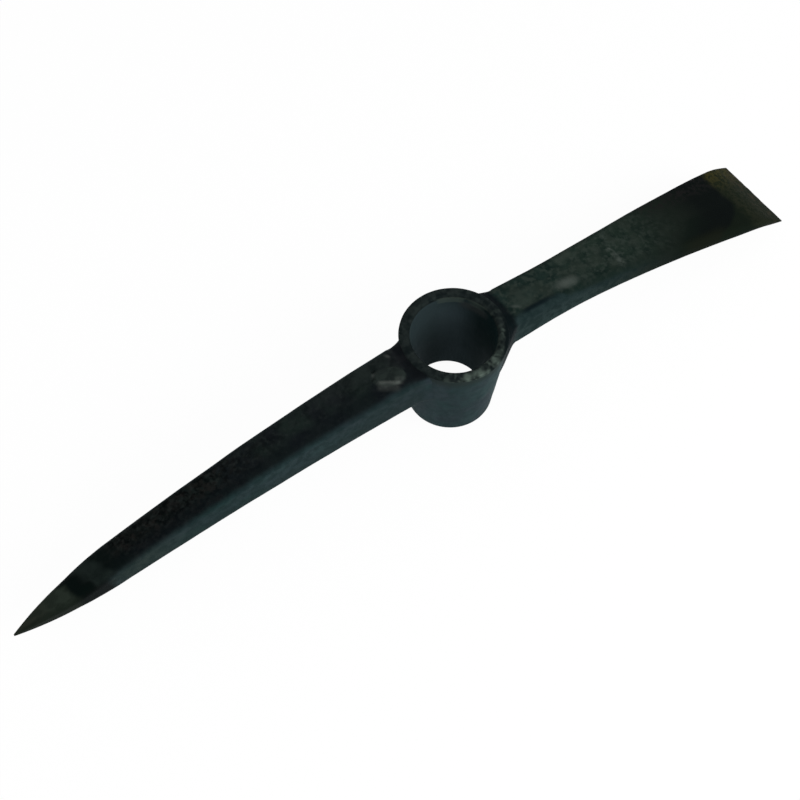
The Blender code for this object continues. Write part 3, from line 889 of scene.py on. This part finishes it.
STRAW_NEAR = (0.0138, 0.0160, 0.0098)
STRAW_FAR = (0.0310, 0.0292, 0.0096)
STRAW_BLOT = (0.0068, 0.0104, 0.0058)
STRAW_RUST = (0.0275, 0.0230, 0.0148)
STRAW_CORNER = (0.0085, 0.0110, 0.0070)
STRAW_BACK = (0.0050, 0.0078, 0.0052)
BLADE_PAD_COLOR = (0.0200, 0.0290, 0.0245)
BLADE_RUB_AND_HIGHLIGHT = (0.060, 0.072, 0.064)


def blade_paint(finish):
    """Colour of the bladed arm from its root to its edge, and where it is ground bare."""
    from_edge = MM_PER_METRE * BLADE_REACH - finish.x
    mottle = finish.grain(4, detail=3).rise(0.36, 0.66)
    side = finish.layered(
        BLADE_SIDE,
        (BLADE_SIDE_AT_END, from_edge.rise(165, 95)),
        (BLADE_SIDE_DARK, 0.62 * mottle),
        # Painted shade along the upper band of the sides, by the crease.
        (BLADE_SIDE_SHADE_HIGH, 0.40 * finish.below.rise(10, 2)),
    )
    # The top, painted darker as shade.
    face = finish.layered(
        BLADE_TOP_MIDDLE,
        (BLADE_TOP_BY_EYE, from_edge.rise(120, 175)),
        (BLADE_TOP_DARK, 0.75 * finish.grain(6, detail=3, roughness=0.6).rise(0.36, 0.70)),
        (BLADE_TOP_GREY, 0.66 * finish.grain(2.8).rise(0.42, 0.68)),
        (BLADE_TOP_PALE, 0.50 * finish.grain(10).rise(0.44, 0.66)),
        (BLADE_TOP_STREAK, 0.70 * streak(finish, 1, (73, 8.6), (86, 10.2), 5.5)),
        (BLADE_TOP_NEAR_EDGE, 0.65 * finish.inset.rise(7, 1) * finish.y.rise(0, -5)),
    )
    # The top keeps painted shade; by the collar its near edge takes the sides' colour as painted light.
    over = finish.below + finish.wander(1.2, 7)
    on_shaded_top = over.rise(3.6, 0.6) * (finish.y + 9.0 + 9 * finish.x.rise(60, 76)).rise(-1.2, 1.2)
    # Painted shade: a dark line along the near crease by the collar.
    crease_shade = finish.y.near(-8.9, 2.2, 0.3) * finish.x.rise(35, 42) * finish.x.rise(64, 50)
    ground_back = 0.070 * (-2 - finish.y).math("MAXIMUM", 0.0) ** 2 + 0.13 * finish.y.math("MAXIMUM", 0.0)
    behind = from_edge - ground_back + finish.wander(7, 11)
    scaly = finish.y.rise(7, 14) * from_edge.near(55, 34, 22) * finish.grain(2.8).rise(0.40, 0.64)
    color = finish.layered(
        side,
        (face, on_shaded_top),
        (BLADE_CREASE_SHADE, 0.85 * crease_shade),
        (BLADE_HEAT_GREEN, 0.92 * behind.rise(114, 62)),
        (BLADE_HEAT_DARK, 0.60 * behind.rise(74, 60) * finish.y.rise(0, -6)),
        (BLADE_HEAT_BLACK, behind.rise(70, 42) * (0.97 - 0.1 * mottle)),
        (BLADE_SCALE, 0.80 * scaly),
        (BLADE_BROWN, 0.50 * finish.y.rise(-13, -19) * from_edge.near(62, 24, 8)),
    )
    straw = finish.layered(
        STRAW_NEAR,
        (STRAW_FAR, finish.y.rise(2, 23)),
        (STRAW_BLOT, 0.85 * finish.grain(2.4).rise(0.40, 0.64)),
        (STRAW_RUST,
         0.60 * finish.grain(5, at=finish.stretched(1, 1, -1)).rise(0.46, 0.62) * from_edge.rise(15, 7)),
        (STRAW_CORNER, 0.50 * finish.y.rise(-15, -22)),
        (STRAW_BACK, 0.90 * from_edge.rise(21, 29) * finish.y.rise(2, -7)),
    )
    ground = behind.rise(28.0, 23.0)
    side_heat = finish.upward.rise(0.5, 0.1) * from_edge.rise(50, 36) * from_edge.rise(18, 27)
    return finish.layered(color, (straw, ground), (BLADE_SIDE_HEAT, 0.80 * side_heat)), ground


blade_finish = Finish("bladed_arm_coat")
color, _ = blade_paint(blade_finish)
pad_grain = blade_finish.grain(3.4).rise(0.36, 0.62)
on_pad = BLADE_PAD.painted(blade_finish, 1).rise(1.1, 0.7)
on_line = (streak(blade_finish, 1, (106.2, 2.0), (105.9, -12.0), 2.8)
           + 0.5 * streak(blade_finish, 1, (109.8, 13.0), (106.2, 0.0), 2.4))
on_line = on_line * blade_finish.grain(3.2).rise(0.36, 0.62)
on_spot = RUBBED_SPOT.painted(blade_finish, 1).rise(1.3, 0.1)
# Painted highlight along the pad's near edge by the rim.
highlight_by_rim = streak(blade_finish, 1, (34.5, -2.5), (39.5, -6.0), 1.6)
rubbed_and_highlit = (0.8 * on_spot + 0.6 * on_line + 0.4 * highlight_by_rim).capped()
blade_material = blade_finish.done(
    blade_finish.layered(
        color, (BLADE_PAD_COLOR, on_pad * (0.35 + 0.45 * pad_grain)), (BLADE_RUB_AND_HIGHLIGHT, rubbed_and_highlit)),
    roughness=0.52 + 0.14 * blade_finish.grain(4, detail=3) - 0.10 * rubbed_and_highlit,
    metallic=0.03 + 0.25 * rubbed_and_highlit,
    relief=coat_relief(blade_finish) - 0.4 * rubbed_and_highlit,
    depth=0.24,
    shine=0.004,
)

groove, along, skin = arm_rings(blade)
across = skin[..., 1]
height = (hammered_height(skin) + mound(BLADE_PAD.reach(along, across), PAD_HEIGHT, SOFT_EDGE)
          + mound(RUBBED_SPOT.reach(along, across), RUBBED_SPOT_HEIGHT, RUBBED_SPOT_SOFTNESS))
height += FORGING_LINE_HEIGHT * TOP_SIDE * np.exp(-(((along - FORGING_LINE) / FORGING_LINE_WIDTH) ** 2))
blade_arm = skin_mesh("bladed_arm", np.concatenate((groove, raised(skin, height))), blade_material)
fit_in(blade_arm, "blade_arm")


# Cutting edge
# The hard steel end of the blade, forge welded on a slanted scarf. A bevel is ground off its top: straw and
# olive by the edge, where the wheel and the tempering left their colours, and nearly black behind it.
NICK_DEPTH = 0.0005
NICK_WIDTH = 0.004
NICK_LENGTH = 0.004
NICK_NOISE_ROW = (0.3, 0.7)
edge_finish = Finish("ground_blade_steel")
color, ground = blade_paint(edge_finish)
blade_edge_material = edge_finish.done(
    color,
    roughness=0.52 + 0.12 * edge_finish.grain(4, detail=3) - 0.06 * ground,
    metallic=0.03,
    relief=ground_relief(edge_finish, ground, (1, 0.08, 1)),
    depth=0.2,
    shine=0.004,
)
along, skin = hard_end(blade)
nicks = np.array([noise.noise(Vector((point[1] / NICK_WIDTH, *NICK_NOISE_ROW))) for point in skin[-1]])
skin[..., 0] -= NICK_DEPTH * (0.5 + 0.5 * nicks) * between(BLADE_REACH - NICK_LENGTH, BLADE_REACH, along)
blade_edge = skin_mesh("ground_cutting_edge", skin, blade_edge_material)
fit_in(blade_edge, "blade_edge")


# Root welds
# A ring of weld metal in the groove round each arm's coped root, run in a hollow curve up to the collar and
# coated with the head. It climbs the collar's side further than its rim, and fine ripples run along it.
WELD_RISE = 0.0005
WELD_SAG = 0.0005
BURIED_ON_TOP = 0.0012
FACE_STEPS = 22
FLOOR_RINGS = np.array([1.0, 0.5, 0.04])[:, None]
WELD_PATCH = (0.0068, 0.0076, 0.0086)
POINT_WELD_SHADE = (0.0034, 0.0042, 0.0050)
BLADE_WELD_SHADE = (0.0024, 0.0046, 0.0052)


def weld_coat(name, paint, dark, shade_from):
    """The arm's own colours at the weld's toe and the collar's at its other side, with painted shade on its
    top, mixed with patches, and on its underside.
    """
    finish = Finish(name)
    color, _ = paint(finish)
    across = finish.node("ShaderNodeAttribute", {"attribute_name": "across"}, output="Fac")
    # Painted shade on the weld in the hollow by the collar: on its top, and on the bladed arm's weld down its
    # sides.
    on_shaded_top = (finish.upward + finish.wander(0.3, 5)).rise(shade_from, shade_from + 0.4)
    on_shaded_top = on_shaded_top * (across + finish.wander(0.5, 4)).rise(0.0, 0.5) * (0.25 + 0.75 * finish.z.rise(28, 44))
    patches = finish.grain(5, at=finish.stretched(1, -1, 1)).rise(0.38, 0.62)
    color = finish.layered(
        color,
        (coat_color(finish), across.rise(0.3, 0.95)),
        # Painted shade on the weld's underside.
        (COAT_DARK, finish.upward.rise(0.05, -0.5)),
        (finish.mix(dark, WELD_PATCH, patches * (0.25 + 0.5 * finish.y.rise(-4, 6))), on_shaded_top),
    )
    return finish.done(
        color,
        roughness=0.50 + 0.14 * finish.grain(3, detail=3),
        metallic=0.06,
        relief=finish.grain(2.2, detail=3),
        depth=0.16,
    )


def root_weld(arm, name, node, material):
    """The weld round one arm's root: face from toe to collar, then back along the groove's floor."""
    part = np.linspace(0, 1, FACE_STEPS)[:, None]
    grown = arm.weld_climb * part**2 - 4 * WELD_SAG * part * (1 - part)
    lowered = (arm.weld_climb - WELD_RISE) * part**2
    face = arm.coped(part, GAP + BURIED_ON_TOP * TOP_SIDE, grown, lowered)
    face = raised(face, hammered_height(face) * (1 - part))
    floor = arm.coped(FLOOR_RINGS, GAP, GAP, in_groove=True)
    rings = np.concatenate((face, floor))
    weld = skin_mesh(name, rings, material, closed_round=True)
    across = np.concatenate((part[:, 0], np.zeros(len(floor))))
    middle_ring = face[FACE_STEPS // 2]
    steps = np.linalg.norm(np.diff(middle_ring, axis=0, append=middle_ring[:1]), axis=1)
    path = np.cumsum(steps) - steps[0]
    for label, values in (("across", np.repeat(across, len(OUT_Y))), ("path", np.tile(path, len(rings)))):
        attribute = weld.data.attributes.new(label, "FLOAT", "POINT")
        attribute.data.foreach_set("value", values.astype(np.float32))
    ripples = ShapeTree("bead_ripples", {
        "Pitch": ("Float", 0.0016),
        "Height": ("Float", 0.00006),
        "Bow": ("Float", 0.0018),
        "Finish": ("Material", material),
    })
    given = ripples.given.outputs["Geometry"]
    across = ripples.node("GeometryNodeInputNamedAttribute", {"data_type": "FLOAT"}, {"Name": "across"})
    path = ripples.node("GeometryNodeInputNamedAttribute", {"data_type": "FLOAT"}, {"Name": "path"})
    middle = across * (1 - across) * 4
    wave = ((path + middle * ripples.size("Bow")) / ripples.size("Pitch") * (2 * math.pi)).math("SINE")
    push = ripples.node("ShaderNodeVectorMath", {"operation": "SCALE"}, {
        0: ripples.node("GeometryNodeInputNormal"), "Scale": wave * middle * ripples.size("Height")})
    rippled = ripples.node("GeometryNodeSetPosition", None, {
        "Geometry": Socket(ripples, given), "Offset": push})
    ripples.finish(rippled, weld)
    fit_in(weld, node)


root_weld(point, "point_root_bead", "point_root_weld",
          weld_coat("point_root_weld_coat", point_paint, POINT_WELD_SHADE, shade_from=0.4))
root_weld(blade, "blade_root_bead", "blade_root_weld",
          weld_coat("blade_root_weld_coat", blade_paint, BLADE_WELD_SHADE, shade_from=-0.9))


# Camera, floor and light
# The photograph's view, from above and beside the point: the head stands on its collar, on a plain white
# floor under soft studio light.
PICTURE_SIDE = 800
EYE_PIXEL = (454.1, 333.0)
FOCAL_PIXELS = 1190.1
VIEW_TURN = math.radians(-35.37)
VIEW_RISE = math.radians(60.69)
VIEW_ROLL = math.radians(0.935)
VIEW_DISTANCE = 0.615
SENSOR_WIDTH = 36
FLOOR_REACH = 3
FLOOR_GLOW = 0.95
SKY_LIGHT = 0.6

back = Vector((math.sin(VIEW_TURN) * math.cos(VIEW_RISE), -math.cos(VIEW_TURN) * math.cos(VIEW_RISE),
               math.sin(VIEW_RISE)))
level_right = Vector((math.cos(VIEW_TURN), math.sin(VIEW_TURN), 0))
level_up = back.cross(level_right)
right = level_right * math.cos(VIEW_ROLL) + level_up * math.sin(VIEW_ROLL)
up = level_up * math.cos(VIEW_ROLL) - level_right * math.sin(VIEW_ROLL)
per_pixel = VIEW_DISTANCE / FOCAL_PIXELS
rim_centre = Vector((EYE_X, 0, EYE_LENGTH))
stand = rim_centre + back * VIEW_DISTANCE
stand -= right * (EYE_PIXEL[0] - PICTURE_SIDE / 2) * per_pixel
stand -= up * (PICTURE_SIDE / 2 - EYE_PIXEL[1]) * per_pixel
camera_data = bpy.data.cameras.new("camera")
camera_data.sensor_width = SENSOR_WIDTH
camera_data.lens = FOCAL_PIXELS * SENSOR_WIDTH / PICTURE_SIDE
camera = bpy.data.objects.new("camera", camera_data)
camera.matrix_world = Matrix.Translation(stand) @ Matrix((right, up, back)).transposed().to_4x4()
bpy.context.scene.collection.objects.link(camera)
bpy.context.scene.camera = camera


def shown_to_camera(tree):
    """1 for what the camera sees, also mirrored or through glass, and 0 for light on its way to the head."""
    seen, mirrored, through = tree.node(
        "ShaderNodeLightPath", output=("Is Camera Ray", "Is Glossy Ray", "Is Transmission Ray"))
    return (seen + mirrored + through).capped()


floor_material = bpy.data.materials.new("white_floor")
floor_material.use_nodes = True
floor_tree = Tree(floor_material.node_tree)
floor_tree.tree.nodes.clear()
diffuse = floor_tree.node("ShaderNodeBsdfDiffuse", None, {"Color": (0.95, 0.95, 0.95, 1)})
glow = floor_tree.node("ShaderNodeEmission", None, {"Color": (1, 1, 1, 1), "Strength": 1.0})
floor_surface = floor_tree.node("ShaderNodeMixShader", None, {
    0: FLOOR_GLOW * shown_to_camera(floor_tree), 1: diffuse, 2: glow})
floor_tree.node("ShaderNodeOutputMaterial", None, {"Surface": floor_surface})
floor_mesh = bpy.data.meshes.new("floor")
floor_corners = [(FLOOR_REACH * x, FLOOR_REACH * y, 0) for x, y in ((-1, -1), (1, -1), (1, 1), (-1, 1))]
floor_mesh.from_pydata(floor_corners, [], [(0, 1, 2, 3)])
floor_mesh.materials.append(floor_material)
floor = bpy.data.objects.new("floor", floor_mesh)
bpy.context.scene.collection.objects.link(floor)

world = bpy.data.worlds.new("studio")
world.use_nodes = True
bpy.context.scene.world = world
sky = Tree(world.node_tree)
sky.tree.nodes.clear()
backdrop = sky.node("ShaderNodeBackground", None, {
    "Color": (1, 1, 1, 1), "Strength": SKY_LIGHT + (1 - SKY_LIGHT) * shown_to_camera(sky)})
sky.node("ShaderNodeOutputWorld", None, {"Surface": backdrop})


def soft_lamp(name, turn, rise, distance, side, power):
    """A square studio lamp that faces the head from a direction, given as a turn and a rise in degrees."""
    turn, rise = math.radians(turn), math.radians(rise)
    way = Vector((math.sin(turn) * math.cos(rise), -math.cos(turn) * math.cos(rise), math.sin(rise)))
    data = bpy.data.lights.new(name, "AREA")
    data.shape = "SQUARE"
    data.size = side
    data.energy = power
    lamp = bpy.data.objects.new(name, data)
    lamp.matrix_world = Matrix.Translation(way * distance) @ way.to_track_quat("Z", "Y").to_matrix().to_4x4()
    bpy.context.scene.collection.objects.link(lamp)


soft_lamp("key_lamp", turn=28, rise=36, distance=1.5, side=0.9, power=15)
soft_lamp("fill_lamp", turn=-70, rise=60, distance=1.8, side=1.2, power=4)

view = bpy.context.scene.view_settings
view.view_transform = "Standard"
